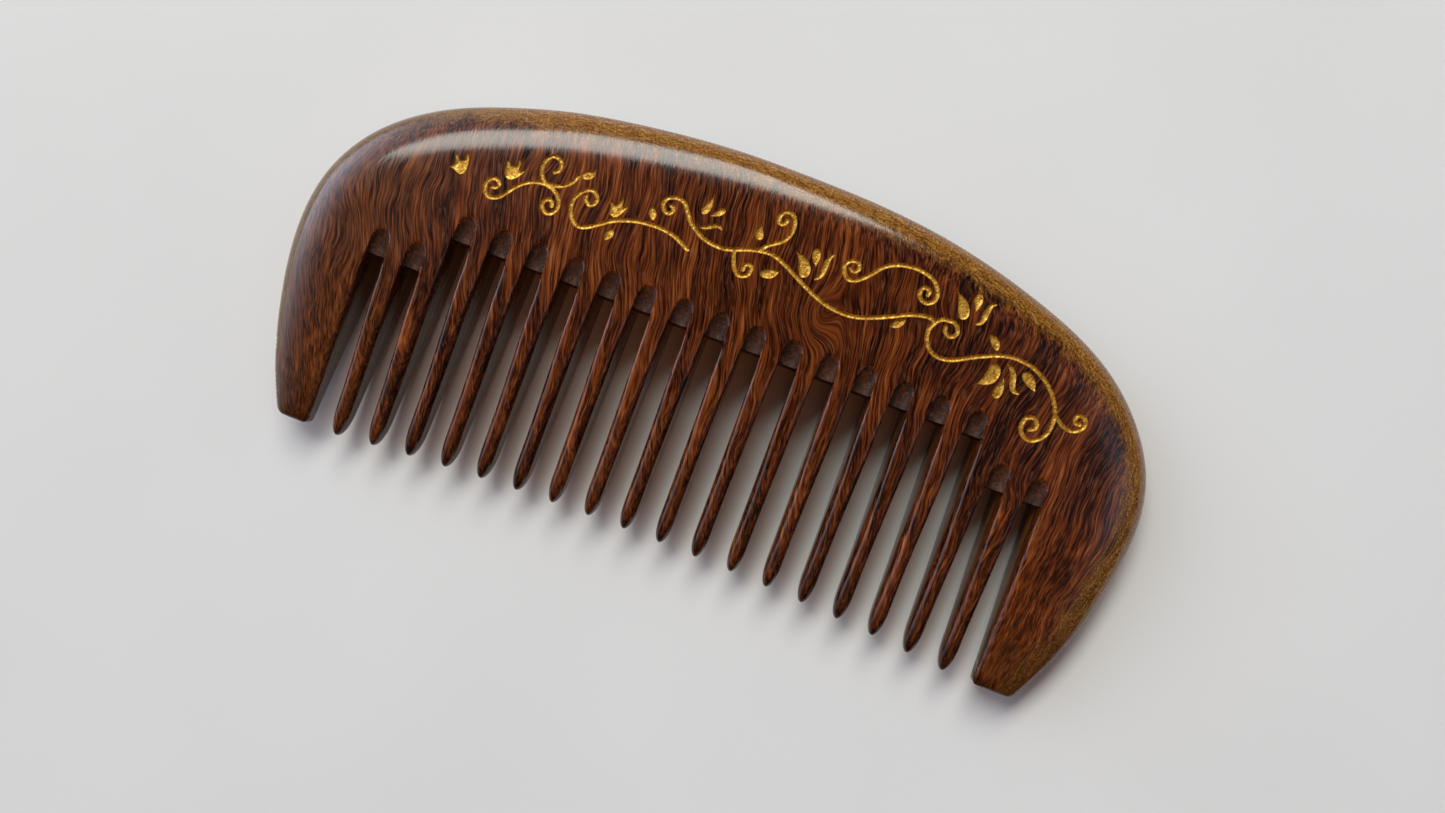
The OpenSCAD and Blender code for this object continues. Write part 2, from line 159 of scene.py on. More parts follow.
def tip_y(k):
    return -28.1 - 2.4 * (tooth_x(k) / 45) ** 2


def gap_root(g):
    return np.where((np.asarray(g) <= 2) | (np.asarray(g) >= 18), ROOT_LO, ROOT_HI)


def nose(y, k):
    """Share of its full size that tooth k has at y."""
    yn = tip_y(k) + NOSE
    u = np.clip((yn - y) / NOSE, 0, 1)
    return np.sqrt(np.maximum(0.006, 1 - u**2.4))


def half_w(y, k):
    """Half-width of tooth k at y."""
    y0 = np.where((k <= 2) | (k >= 17), ROOT_LO, ROOT_HI)
    return (TOOTH_W - TOOTH_NARROW * np.clip((y0 - y) / 23, 0, 1)) / 2 * nose(y, k)


def guard_in(y):
    """Distance of the guards' inner edges from the middle at y."""
    return GUARD_X + 0.25 * (ROOT_LO - y) / 25


def smooth(a, b, x):
    t = np.clip((x - a) / (b - a), 0, 1)
    return t * t * (3 - 2 * t)


def near_outer(P):
    """Distance of each point to the outline, and how far along the outline that is."""
    A, B = outer[:-1], outer[1:]
    D = B - A
    LL = (D**2).sum(1)
    S = lengths(outer)[:-1]
    dist, along = np.empty(len(P)), np.empty(len(P))
    for i in range(0, len(P), 2000):
        Q = P[i : i + 2000, None, :]
        u = np.clip(((Q - A) * D).sum(2) / LL, 0, 1)
        d = np.linalg.norm(Q - (A + u[..., None] * D), axis=2)
        j = d.argmin(1)
        r = np.arange(len(j))
        dist[i : i + 2000] = d[r, j]
        along[i : i + 2000] = S[j] + u[r, j] * np.sqrt(LL[j])
    return dist, along


def drop(dist, rx, rz):
    """How far a rounded edge falls at a distance inside it."""
    q = np.clip(1 - dist / rx, 0, 1)
    return rz * (1 - np.sqrt(np.maximum(0, 1 - q * q)))


def wheel(x, v, g):
    """Height of the scallop of slot g at a distance v above its root."""
    a = np.abs(x - (g - 10) * PITCH)
    q = np.clip(a - (GAP / 2 - WHEEL_C), 0, WHEEL_C)
    r = WHEEL_R - (WHEEL_C - np.sqrt(np.maximum(0, WHEEL_C**2 - q * q)))
    return HALF - WHEEL_D + WHEEL_R - np.sqrt(np.maximum(0.01, r * r - v * v))


def surface(P):
    """Height of the face above the mid-plane at each point, without the engraving."""
    P = np.asarray(P, float)
    x, y = P[:, 0], P[:, 1]
    dist, _ = near_outer(P)
    guard = np.abs(x) > GUARD_X - 0.01
    wide = np.clip(np.interp(y, [-31, -5.6, 5], [5.0, 12.5, 30]), 0, None)
    bull = np.minimum(BULL, 0.72 * wide)
    k = np.clip(1 - dist / bull, 0, 1)
    z = half_at(y) * np.sqrt(np.maximum(0, 1 - k * k))
    # the feet of the guards
    v = y - np.where(x > 0, FOOT_R, FOOT_L)
    f = 0.42 + 0.58 * np.sqrt(np.clip(1 - (1 - np.clip(v / 2.2, 0, 1)) ** 2, 0, 1))
    z = np.where(guard & (v < 2.2), z * f, z)
    # the noses of the teeth
    tk = np.clip(np.round(x / PITCH + 9.5), 1, TEETH)
    z = np.where(~guard, z * (0.25 + 0.75 * nose(y, tk)), z)
    whole = z.copy()
    # the rounded edges along the slots
    for side in (-1, 1):
        g = np.clip(np.floor(x / PITCH + 10) + (side > 0), 1, TEETH + 1)
        gx = (g - 10) * PITCH
        a = gap_root(g) - y
        kt = np.clip(g - 1 if side > 0 else g, 1, TEETH)  # the tooth on this point's side of the slot
        # distance into the wood from the slot's wall
        d = np.where(side > 0, tooth_x(kt) + half_w(y, kt) - x, x - (tooth_x(kt) - half_w(y, kt)))
        is_guard = (x > GUARD_X - 0.01) if side < 0 else (x < -GUARD_X + 0.01)
        d = np.where(is_guard, np.abs(x) - guard_in(y), d)
        # in a guard the other side has no slot
        none = ((x > GUARD_X - 0.01) if side > 0 else (x < -GUARD_X + 0.01))
        w = np.where(guard, 1.6, half_w(y, tk))
        low = smooth(4, 21, a)
        rx = (0.12 + 0.43 * smooth(0, 3.5, a)) * (1 - low) + 0.96 * w * low
        rz = (0.45 + 0.1 * smooth(0, 3.5, a)) * (1 - low) + np.where(guard, 0.4, 0.62) * whole * low
        rx = np.minimum(rx, 0.97 * w)
        rz = np.minimum(rz, 0.85 * whole)
        on = (a >= 0) & ~none
        z = np.where(on, z - drop(np.maximum(d, 0), rx, rz), z)
        # the scallops above the roots
        v = -a
        cut = wheel(x, v, g)
        inside = np.abs(x - gx) <= GAP / 2 + 1e-6
        up = (v >= 0) & (v < 5) & ~none
        # a soft lip where the cut meets the face
        k2 = 0.20
        h2 = np.clip(0.5 + 0.5 * (z - cut) / k2, 0, 1)
        soft = z * (1 - h2) + cut * h2 - k2 * h2 * (1 - h2)
        z = np.where(up & inside, soft, z)
        wall = np.maximum(0, HALF - wheel(gx + GAP / 2, v, g))
        beside = up & ~inside
        z = np.where(beside, z - drop(np.abs(x - gx) - GAP / 2, 0.12, np.minimum(wall, 0.45)), z)
    return z


# ---------------------------------------------------------------- the plan of the board


def bezier(a, c, b, n):
    a, b, c = map(np.asarray, (a, b, c))
    t = np.linspace(0, 1, n)[:, None]
    return (1 - t) ** 2 * a + 2 * t * (1 - t) * c + t * t * b


def line(a, b, step):
    n = max(1, int(round(math.dist(a, b) / step)))
    return [np.asarray(a) + (np.asarray(b) - np.asarray(a)) * i / n for i in range(n + 1)]


def rows(k):
    """The heights at which tooth k has a row of points, from y = 0 down to its tip."""
    yn = tip_y(k) + NOSE
    ys = [0.0]
    while ys[-1] - 0.7 > yn + 0.35:
        ys.append(ys[-1] - 0.7)
    return [round(y, 4) for y in ys] + [
        yn - NOSE * u for u in (0, 0.12, 0.24, 0.36, 0.47, 0.57, 0.66, 0.74, 0.81, 0.87, 0.92, 0.96, 0.985, 1.0)
    ]


ring = []
FILLET = 1.3
L = lengths(outer)
at = lambda s: np.array([np.interp(s, L, outer[:, 0]), np.interp(s, L, outer[:, 1])])
n_outer = int(round((L[-1] - 2 * FILLET) / 0.55))
ring += [at(s) for s in np.linspace(FILLET, L[-1] - FILLET, n_outer + 1)]
c = outer[-1]
ring += list(bezier(at(L[-1] - FILLET), c, c + (FILLET, 0), 8))[1:]
c2 = np.array([-guard_in(FOOT_L), FOOT_L])
ring += line(c + (FILLET, 0), c2 - (1.1, 0), 0.5)[1:]
ring += list(bezier(c2 - (1.1, 0), c2, (-guard_in(FOOT_L + 1.1), FOOT_L + 1.1), 8))[1:]
ring += [
    np.array([-guard_in(y), y]) for y in np.linspace(FOOT_L + 1.1, ROOT_LO, 34)[1:]
]
LIP = (0.12, 0.28, 0.45, 0.63, 0.82, 1.0, 1.18, 1.37, 1.55, 1.72, 1.88)
for g in range(1, TEETH + 2):
    gx, r = (g - 10) * PITCH, float(gap_root(g))
    ring += [np.array([gx - GAP / 2 + f * GAP / 2, r]) for f in LIP]
    ring.append(np.array([gx + GAP / 2, r]))
    if g <= TEETH:
        ys = rows(g)
        r2 = float(gap_root(g + 1))
        ring += [np.array([tooth_x(g) - half_w(y, g), y]) for y in ys if y < r - 0.01]
        ring += [np.array([tooth_x(g) + half_w(y, g), y]) for y in ys[::-1] if y <= r2 + 0.01]
ring += [np.array([guard_in(y), y]) for y in np.linspace(ROOT_LO, FOOT_R + 1.1, 34)[1:]]
c2 = np.array([guard_in(FOOT_R), FOOT_R])
ring += list(bezier((guard_in(FOOT_R + 1.1), FOOT_R + 1.1), c2, c2 + (1.1, 0), 8))[1:]
c = outer[0]
ring += line(c2 + (1.1, 0), c - (FILLET, 0), 0.5)[1:]
ring += list(bezier(c - (FILLET, 0), c, at(FILLET), 8))[1:-1]
ring = np.array(ring)


def inside(P, poly):
    """True for each point that lies inside a closed polygon, by its winding number."""
    P, poly = np.asarray(P, float), np.asarray(poly, float)
    A, B = poly, np.roll(poly, -1, axis=0)
    lo, hi = poly.min(0), poly.max(0)
    near = np.nonzero(((P > lo) & (P < hi)).all(1))[0]
    out = np.zeros(len(P), bool)
    for i in range(0, len(near), 1500):
        idx = near[i : i + 1500]
        x, y = P[idx, 0][:, None], P[idx, 1][:, None]
        left = (B[:, 0] - A[:, 0]) * (y - A[:, 1]) - (x - A[:, 0]) * (B[:, 1] - A[:, 1])
        up = (A[:, 1] <= y) & (B[:, 1] > y) & (left > 0)
        down = (A[:, 1] > y) & (B[:, 1] <= y) & (left < 0)
        out[idx] = up.sum(1) != down.sum(1)
    return out


# ---------------------------------------------------------------- the ornament

S1 = [(-34.8, 8.3), (-34.3, 8.4), (-34, 8.9), (-34.4, 9.4), (-35.1, 9.4), (-35.7, 8.6), (-35.5, 7.5),
      (-34.6, 6.9), (-33.5, 7.3), (-32.7, 8.2), (-31.8, 9.4), (-30.8, 10.3), (-29.6, 10.9), (-28.3, 11.1),
      (-27, 10.8), (-26.1, 10.1), (-25.6, 9.1), (-25.7, 8.3), (-26.2, 7.7), (-26.9, 7.6), (-27.6, 8.2),
      (-27.6, 8.9), (-27.1, 9.4), (-26.6, 9.2), (-26.4, 8.7)]
S1_UP = [(-27.6, 13), (-27.2, 13.4), (-27.1, 14.1), (-27.4, 14.7), (-28.1, 15), (-28.8, 14.8),
         (-29.3, 14), (-29.4, 13), (-29, 12), (-28.3, 11.2)]
S1_SIDE = [(-28.3, 11.2), (-27.5, 11.3), (-26.4, 11.5), (-25.4, 12.1), (-24.8, 12.8), (-24.5, 13.6)]
S2 = [(-22.6, 11.6), (-22.4, 11), (-21.8, 10.6), (-21.3, 10.8), (-21, 11.4), (-21.3, 12.1), (-22, 12.5),
      (-22.9, 12.2), (-23.6, 11.4), (-24, 10.3), (-23.8, 9), (-23.2, 8), (-22.2, 7.4), (-21, 7.7),
      (-19.5, 8.7), (-18, 9.7), (-16, 10.5), (-14, 10.9), (-12, 11), (-10, 10.7), (-8.5, 10.1), (-7.5, 9.6)]
S3 = [(-11.6, 14.3), (-11.2, 14.1), (-11.1, 13.6), (-11.5, 13.2), (-12.1, 13.3), (-12.6, 14), (-12.5, 14.8),
      (-11.9, 15.3), (-10.9, 15.5), (-10, 15.2), (-9.2, 14.2), (-8.3, 13.1), (-7.2, 12.3), (-6, 11.7),
      (-4.5, 11.4), (-3, 11.4), (-1.6, 11.8), (0, 12.4), (1.6, 12.8), (3.2, 12.9), (4.8, 12.4), (6.5, 11.6),
      (8.5, 10.6), (10.5, 9.7), (12.5, 9.1), (14.5, 8.9), (16.5, 9.1), (18.5, 9.8), (20.5, 10.7),
      (22.5, 11.7), (24, 12.2), (25.2, 12.4), (26.2, 12.2)]
S3_DOWN = [(0.3, 9.7), (0.3, 10.2), (0.7, 10.6), (1.2, 10.4), (1.3, 9.8), (1, 9.1), (0.1, 8.8), (-0.5, 9.1),
           (-1, 9.8), (-1.4, 10.8), (-1.7, 11.8)]
S3_UP = [(3.5, 17.9), (3.4, 17.4), (3, 17.1), (2.5, 17.3), (2.4, 18), (2.8, 18.7), (3.5, 18.9), (4.2, 18.5),
         (4.6, 17.6), (4.6, 16.4), (4.12, 15.25), (3.22, 14.5), (2.25, 13.8), (1.5, 12.9)]
S4 = [(13.4, 14.9), (13.8, 14.6), (14.3, 14.7), (14.5, 15.2), (14.2, 15.8), (13.6, 15.9), (13, 15.6),
      (12.6, 14.9), (12.9, 14), (13.6, 13.4), (14.5, 13.5), (15.5, 14.2), (16.4, 15.2), (17.3, 16.3),
      (18.4, 17.1), (19.8, 17.6), (21.4, 17.8), (23, 17.6), (24.2, 17.1), (25, 16.2), (25.3, 15.2),
      (25, 14.4), (24.2, 14), (23.4, 14.3), (23, 14.9), (23.1, 15.6), (23.6, 15.9), (24.1, 15.6), (24.1, 15.1)]
S5 = [(27.7, 12), (27.9, 11.4), (28.4, 11), (29, 11.1), (29.4, 11.7), (29.2, 12.4), (28.6, 12.9), (27.8, 12.9),
      (26.9, 12.7), (26.2, 11.9), (25.8, 10.8), (26, 9.6), (26.7, 8.6), (27.8, 8), (29.2, 8), (30.6, 8.5),
      (32.2, 9.4), (33.8, 10.2), (35.4, 10.9), (37, 11.3), (38.6, 11.3), (40.2, 11), (41.8, 10.2), (43.2, 9.1),
      (44.2, 7.8), (44.9, 6.3), (45, 4.9), (44.8, 3.6), (44, 2.5), (43, 2), (42, 2.3), (41.4, 3.1),
      (41.4, 4.1), (41.8, 4.7), (42.6, 4.9), (43.1, 4.5), (43.2, 3.9), (42.9, 3.5), (42.5, 3.3)]
S5_SIDE = [(48.3, 6.2), (47.8, 6.2), (47.5, 6.7), (47.7, 7.2), (48.3, 7.3), (48.8, 7), (49, 6.3),
           (48.6, 5.6), (47.8, 5.1), (46.8, 5.1), (45.8, 5.6), (44.9, 6.3)]
LEAVES = [
    ([(-22.6, 15.2), (-22.9, 14.5), (-23.5, 14.1), (-24.2, 13.9)], 1.25, 0.55, True, 1),
    ([(-18.2, 6.9), (-17.9, 7.8), (-17.8, 8.8)], 1.1, 0.6, False, 0.8),
    ([(-13.1, 11.6), (-13.5, 12.5), (-13.9, 13.4)], 1, 0.45, False, 0.7),
    ([(-6.7, 17.6), (-6.8, 16.6), (-7, 15.6), (-7.4, 14.7)], 1.05, 0.72, True, 1.2),
    ([(-6.2, 14.8), (-5.4, 15.5), (-4.6, 16.3)], 0.95, 0.65, True, 1),
    ([(-4.1, 13.6), (-4.7, 13.9), (-5.4, 13.7), (-6.2, 13.2), (-7, 12.9)], 0.66, 0.5, False, 0.5),
    ([(0.47, 16.12), (0.57, 15.32), (0.95, 14.05)], 1.12, 0.7, True, 0.9),
    ([(4.9, 11.1), (3.9, 10.5), (2.6, 9.9)], 1.35, 0.5, True, 0.9),
    ([(6, 14.4), (6.9, 13.9), (7.6, 13.1), (7.92, 12.3), (7.82, 11.42)], 1.6, 0.7, True, 1.1),
    ([(9.1, 13.4), (8.8, 14.4), (8.4, 15.8)], 1.1, 0.6, True, 1),
    ([(11, 15.8), (10.5, 15.3), (10.3, 14.4), (10.3, 13.3), (10.1, 12.4), (9.5, 11.7)], 0.75, 0.5, False, 0.5),
    ([(20.95, 9.45), (21.75, 10.15), (22.6, 11.05)], 1.05, 0.5, False, 0.7),
    ([(27.6, 16.9), (28.4, 16.1), (29, 15.2), (29.3, 14.4), (29.3, 13.6)], 1.58, 0.7, True, 1.2),
    ([(30.7, 15.3), (30.6, 16.3), (30.4, 17.8)], 1.16, 0.6, True, 1),
    ([(33, 17.1), (32.4, 16.7), (32.1, 15.8), (32, 14.9), (31.8, 14.1), (31.1, 13.6)], 0.8, 0.5, False, 0.5),
    ([(33.5, 13.2), (34.4, 12.4), (35.1, 11.4)], 1.12, 0.55, False, 0.7),
    ([(34.1, 6.5), (35.1, 7.4), (35.6, 8.5), (35.5, 9.9)], 1.8, 0.6, True, 1),
    ([(37.1, 8.5), (37.1, 7.4), (36.9, 5.5)], 1.22, 0.72, True, 1.2),
    ([(36.9, 10.3), (37.6, 9.9), (38.1, 9.1), (38.4, 8.1), (38.8, 7.3), (39.7, 7.1)], 0.86, 0.5, False, 0.6),
    ([(41.4, 8.2), (40.4, 9.2), (39.2, 10.1)], 1.4, 0.6, True, 0.8),
]
BUDS = [
    [(-39.33, 8.35), (-38.98, 8.62), (-38.83, 9.16), (-38.8, 9.76), (-38.89, 10.44), (-39.18, 11.17), (-39.59, 11.49), (-39.48, 10.91), (-39.53, 10.6), (-39.82, 10.36), (-40.12, 10.2), (-40.67, 10.7), (-41.11, 10.83), (-40.71, 10.12), (-40.61, 9.54), (-40.8, 9.18), (-41.1, 8.83), (-40.62, 8.73), (-40.19, 8.6), (-39.75, 8.39)],
    [(-32.63, 10.07), (-32.18, 10.45), (-31.77, 10.93), (-31.46, 11.5), (-31.41, 12.11), (-31.74, 11.79), (-32.01, 11.55), (-32.21, 11.71), (-32.22, 12.09), (-32.19, 12.53), (-32.4, 12.93), (-32.68, 12.92), (-32.62, 12.34), (-32.79, 12.04), (-33.13, 11.99), (-33.48, 11.91), (-33.92, 12.41), (-34.18, 12.36), (-34.03, 11.77), (-34.05, 11.29), (-33.98, 10.72), (-33.67, 10.22), (-33.17, 9.93)],
    [(-17.72, 10.32), (-17.34, 10.91), (-17.06, 11.38), (-16.83, 11.89), (-16.74, 12.53), (-17.08, 12.17), (-17.36, 11.92), (-17.61, 12.02), (-17.59, 12.59), (-17.88, 13.15), (-17.95, 12.6), (-18.15, 12.25), (-18.54, 11.91), (-18.95, 11.99), (-19.54, 12.05), (-19.02, 11.42), (-18.96, 10.92), (-18.83, 10.36), (-18.21, 10.11)],
]


def stroke(points, w, n=6):
    """The closed outline of an engraved line with round ends."""
    C = catmull(points, n)
    T = tangents(C)
    N = np.stack([-T[:, 1], T[:, 0]], 1)
    h = w / 2

    def cap(c, t, sign):
        a0 = math.atan2(t[1], t[0])
        angles = [67, 45, 22, 0, -22, -45, -67] if sign > 0 else [247, 225, 202, 180, 158, 135, 113]
        return [c + h * np.array([math.cos(a0 + math.radians(a)), math.sin(a0 + math.radians(a))]) for a in angles]

    D = resample(C, 0.03)

    def clear(P):
        return [p for p in P if np.sqrt(((D - p) ** 2).sum(1).min()) > 0.985 * h]

    return np.array(clear(C + h * N) + cap(C[-1], T[-1], 1) + clear((C - h * N)[::-1]) + cap(C[0], T[0], -1))


def leaf(points, w, fullest, round_end, power, n=8):
    C = catmull(points, n)
    L = lengths(C)
    u = L / L[-1]
    T = tangents(C)
    N = np.stack([-T[:, 1], T[:, 0]], 1)
    up = np.sin(np.pi / 2 * np.clip(u / fullest, 0, 1)) ** power
    q = np.clip((u - fullest) / (1 - fullest), 0, 1)
    down = np.sqrt(np.maximum(0, 1 - q * q)) if round_end else np.sin(np.pi / 2 * (1 - q)) ** power
    h = np.maximum(0.03, w / 2 * np.where(u < fullest, up, down))[:, None]
    return np.vstack([C + h * N, (C - h * N)[::-1]])


GOLD = {
    "vine_left": [stroke(S1, LINE_W), stroke(S1_UP, LINE_W), stroke(S1_SIDE, LINE_W)],
    "vine_arch": [stroke(S2, LINE_W)],
    "vine_main": [stroke(p, LINE_W) for p in (S3, S3_DOWN, S3_UP, S5, S5_SIDE)],
    "vine_top": [stroke(S4, LINE_W)],
    "bud_left": [np.array(BUDS[0])],
    "bud_middle": [np.array(BUDS[1])],
    "bud_right": [np.array(BUDS[2])],
}
for i, l in enumerate(LEAVES):
    GOLD["leaf_%02d" % (i + 1)] = [leaf(*l)]

# ---------------------------------------------------------------- points for the board's faces


class Cloud:
    """Points kept at least their own radius from those already taken."""

    def __init__(self):
        self.cells, self.points = {}, []

    def take(self, p, r, always=False):
        x, y = float(p[0]), float(p[1])
        i, j = int(math.floor(x * 2)), int(math.floor(y * 2))
        n = int(math.ceil(r * 2))
        if not always:
            for a in range(i - n, i + n + 1):
                for b in range(j - n, j + n + 1):
                    for qx, qy in self.cells.get((a, b), ()):
                        if (qx - x) ** 2 + (qy - y) ** 2 < r * r:
                            return False
        self.cells.setdefault((i, j), []).append((x, y))
        self.points.append((x, y))
        return True


def common_points():
    """(point, radius) pairs that both faces share: bullnose rings, teeth, slot edges, scallops and feet."""
    out = []
    S = lengths(outer)
    n = int(round(S[-1] / 0.6))
    s = np.linspace(0.2, S[-1] - 0.2, n)
    base = np.stack([np.interp(s, S, outer[:, 0]), np.interp(s, S, outer[:, 1])], 1)
    T = tangents(base)
    N = np.stack([-T[:, 1], T[:, 0]], 1)
    wide = np.interp(base[:, 1], [-31, -5.6, 5], [5.0, 12.5, 30])
    bull = np.minimum(BULL, 0.72 * wide)
    last = 0
    for step in range(1, 13):
        f = 1 - math.cos(math.radians(7.5 * step))
        for b, nn, w in zip(base, N, bull):
            p = b + nn * w * f
            out.append((p, 0.55 * min(0.6, max(0.04, w * (f - last)))))
        last = f
    # teeth
    for k in range(1, TEETH + 1):
        top = max(float(gap_root(k)), float(gap_root(k + 1)))
        for y in rows(k)[:-1]:
            if y > top + 0.01:
                continue
            w = float(half_w(y, k))
            near = [0.056, 0.12] if y > top - 5 else [0.045 * w, 0.10 * w]
            cols = [w - d for d in near] + [w * f for f in (0.80, 0.67, 0.52, 0.35, 0.17)]
            for c in cols:
                for sgn in (-1, 1):
                    out.append((np.array([tooth_x(k) + sgn * c, y]), 0.03))
            out.append((np.array([tooth_x(k), y]), 0.05))
    # inner edges of the guards
    for sgn, foot in ((1, FOOT_R), (-1, FOOT_L)):
        for y in np.linspace(foot + 1.1, ROOT_LO, 34):
            for d in (0.056, 0.12, 0.25, 0.42, 0.65, 0.95, 1.3, 1.7):
                out.append((np.array([sgn * (guard_in(y) + d), y]), 0.035 if d < 0.2 else 0.09))
        for v in (0.06, 0.2, 0.42, 0.7, 1.05, 1.45, 1.9, 2.3, 2.9):
            for x in np.arange(guard_in(foot) + 0.3, 54, 0.4):
                out.append((np.array([sgn * x, foot + v]), 0.05 if v < 0.3 else 0.14))
    # scallops
    for g in range(1, TEETH + 2):
        gx, r = (g - 10) * PITCH, float(gap_root(g))
        for f in np.linspace(-1, 1, 23):
            q = max(0, abs(f) * GAP / 2 - (GAP / 2 - WHEEL_C))
            rr = WHEEL_R - (WHEEL_C - math.sqrt(max(0, WHEEL_C**2 - q * q)))
            v = math.sqrt(rr * rr - (WHEEL_R - WHEEL_D) ** 2)
            for dv, rad in ((0, 0.04), (-0.1, 0.05), (0.1, 0.05), (-0.22, 0.07)):
                out.append((np.array([gx + f * GAP / 2, r + v + dv]), rad))
        for v in np.arange(0.3, 4.5, 0.3):
            for f in (0, 0.28, 0.5, 0.7, 0.86, 0.95, 1.0):
                for sgn in (-1, 1):
                    out.append((np.array([gx + sgn * f * GAP / 2, r + v]), 0.04))
        for v in np.arange(0, 2.7, 0.3):
            for d in (0.056, 0.12, 0.3):
                for sgn in (-1, 1):
                    out.append((np.array([gx + sgn * (GAP / 2 + d), r + v]), 0.035))
    return out


def flat_points():
    out = []
    for j, y in enumerate(np.arange(-30, 26, 1.1)):
        for x in np.arange(-60, 62, 1.27):
            out.append((np.array([x + (0.63 if j % 2 else 0), y]), 0.62))
    return out


common, flat = common_points(), flat_points()


def plan(grooves):
    """Triangles over the board: (points, index of each ring point, triangles, groove number or -1 of each triangle)."""
    cloud = Cloud()
    for p in ring:
        cloud.take(p, 0, True)
    edges = [(i, (i + 1) % len(ring)) for i in range(len(ring))]
    for poly in grooves:
        first = len(cloud.points)
        for p in poly:
            cloud.take(p, 0, True)
        edges += [(first + i, first + (i + 1) % len(poly)) for i in range(len(poly))]
    fixed = len(cloud.points)
    for p, r in common + flat:
        cloud.take(p, r)
    P = np.array(cloud.points)
    keep = np.ones(len(P), bool)
    keep[fixed:] = inside(P[fixed:], ring)
    for poly in grooves:
        keep[fixed:] &= ~inside(P[fixed:], poly)
    free = P[fixed:][keep[fixed:]]
    # none so near a groove's edge that it makes a sliver
    if grooves:
        G = np.vstack(grooves)
        ok = np.ones(len(free), bool)
        box = (free > G.min(0) - 1).all(1) & (free < G.max(0) + 1).all(1)
        for i in np.nonzero(box)[0]:
            if ((G - free[i]) ** 2).sum(1).min() < 0.1**2:
                ok[i] = False
        free = free[ok]
    P = np.vstack([P[:fixed], free])
    V, _, F, orig, _, _ = delaunay_2d_cdt([Vector(p) for p in P], edges, [], 0, 1e-5, True)
    V = np.array([(v[0], v[1]) for v in V])
    F = np.array([f for f in F if len(f) == 3])
    where = {}
    for new, olds in enumerate(orig):
        for o in olds:
            where[o] = new
    ids = [where[i] for i in range(len(ring))]
    centre = V[F].mean(1)
    F = F[inside(centre, ring)]
    centre = V[F].mean(1)
    kind = np.full(len(F), -1)
    for n, poly in enumerate(grooves):
        kind[inside(centre, poly)] = n
    a, b, c = V[F[:, 0]], V[F[:, 1]], V[F[:, 2]]
    area = (b[:, 0] - a[:, 0]) * (c[:, 1] - a[:, 1]) - (b[:, 1] - a[:, 1]) * (c[:, 0] - a[:, 0])
    F[area < 0] = F[area < 0][:, ::-1]
    return V, ids, F, kind


def to_row(x, y, z):
    return ((x - MID[0]) * 0.001, (y - MID[1]) * 0.001, (z + HALF) * 0.001)


def add_mesh(name, verts, faces, sharp=40):
    me = bpy.data.meshes.new(name)
    me.from_pydata([tuple(v) for v in verts], [], [tuple(int(i) for i in f) for f in faces])
    me.validate()
    me.update()
    me.polygons.foreach_set("use_smooth", [True] * len(me.polygons))
    me.set_sharp_from_angle(angle=math.radians(sharp))
    ob = bpy.data.objects.new(name, me)
    bpy.context.scene.collection.objects.link(ob)
    return ob


def open_edges(me):
    """How many edges don't have just two faces."""
    count = {}
    for p in me.polygons:
        for k in p.edge_keys:
            count[k] = count.get(k, 0) + 1
    return sum(c != 2 for c in count.values())


def build_board():
    polys = [p for group in GOLD.values() for p in group]
    Vt, ring_t, Ft, kind = plan(polys)
    Vb, ring_b, Fb, _ = plan([])
    zt, zb = surface(Vt), surface(Vb)
    verts, faces, tags = [], [], []

    def vert(p, z, floor=0.0):
        verts.append(to_row(p[0], p[1], z))
        tags.append((p[0], p[1], floor, z))
        return len(verts) - 1

    zr = np.array([zt[i] for i in ring_t])
    shared = {}
    top, floor, bottom = {}, {}, {}
    for n, (a, b) in enumerate(zip(ring_t, ring_b)):
        if zr[n] < 0.02:
            top[a] = bottom[b] = vert(ring[n], 0.0)
    for f, k in zip(Ft, kind):
        table = top if k < 0 else floor
        for i in f:
            if i not in table:
                table[i] = vert(Vt[i], zt[i] - (0 if k < 0 else GROOVE), 0.0 if k < 0 else 1.0)
        faces.append([table[i] for i in f])
    # walls of the grooves
    owner = {}
    for f, k in zip(Ft, kind):
        for i in range(3):
            owner[(f[i], f[(i + 1) % 3])] = k
    for (a, b), k in owner.items():
        if k < 0 and owner.get((b, a), -1) >= 0:
            faces.append([top[b], top[a], floor[a], floor[b]])
    for f in Fb:
        for i in f:
            if i not in bottom:
                bottom[i] = vert(Vb[i], -zb[i])
        faces.append([bottom[i] for i in f][::-1])
    for n in range(len(ring)):
        m = (n + 1) % len(ring)
        q = [bottom[ring_b[n]], bottom[ring_b[m]], top[ring_t[m]], top[ring_t[n]]]
        q = [v for i, v in enumerate(q) if v != q[i - 1]]
        if len(q) > 2:
            faces.append(q)
    ob = add_mesh("comb_wood", verts, faces, 38)
    # close the slivers that thin triangles leave
    bm = bmesh.new()
    bm.from_mesh(ob.data)
    bmesh.ops.holes_fill(bm, edges=[e for e in bm.edges if e.is_boundary], sides=8)
    bm.to_mesh(ob.data)
    bm.free()
    print("comb_wood:", len(verts), "points", len(faces), "faces", open_edges(ob.data), "open edges")
    tags = np.array(tags)
    return ob, tags


board, tags = build_board()
me = board.data
assert len(me.vertices) == len(tags), "mesh validation dropped points"
edge_d, edge_s = near_outer(tags[:, :2])
x, y = tags[:, 0], tags[:, 1]
cut = np.zeros(len(tags))
for g in range(1, TEETH + 2):
    v = y - float(gap_root(g))
    a = np.abs(x - (g - 10) * PITCH)
    depth = HALF - wheel(x, np.maximum(v, 0), g)
    cut = np.maximum(cut, np.where((v > -0.01) & (v < 5) & (a < GAP / 2 + 0.01), np.clip(depth / 0.35, 0, 1), 0))
tips = np.zeros(len(tags))
for k in range(1, TEETH + 1):
    on = np.abs(x - tooth_x(k)) < PITCH / 2
    tips = np.where(on, smooth(9, 0, y - tip_y(k)), tips)
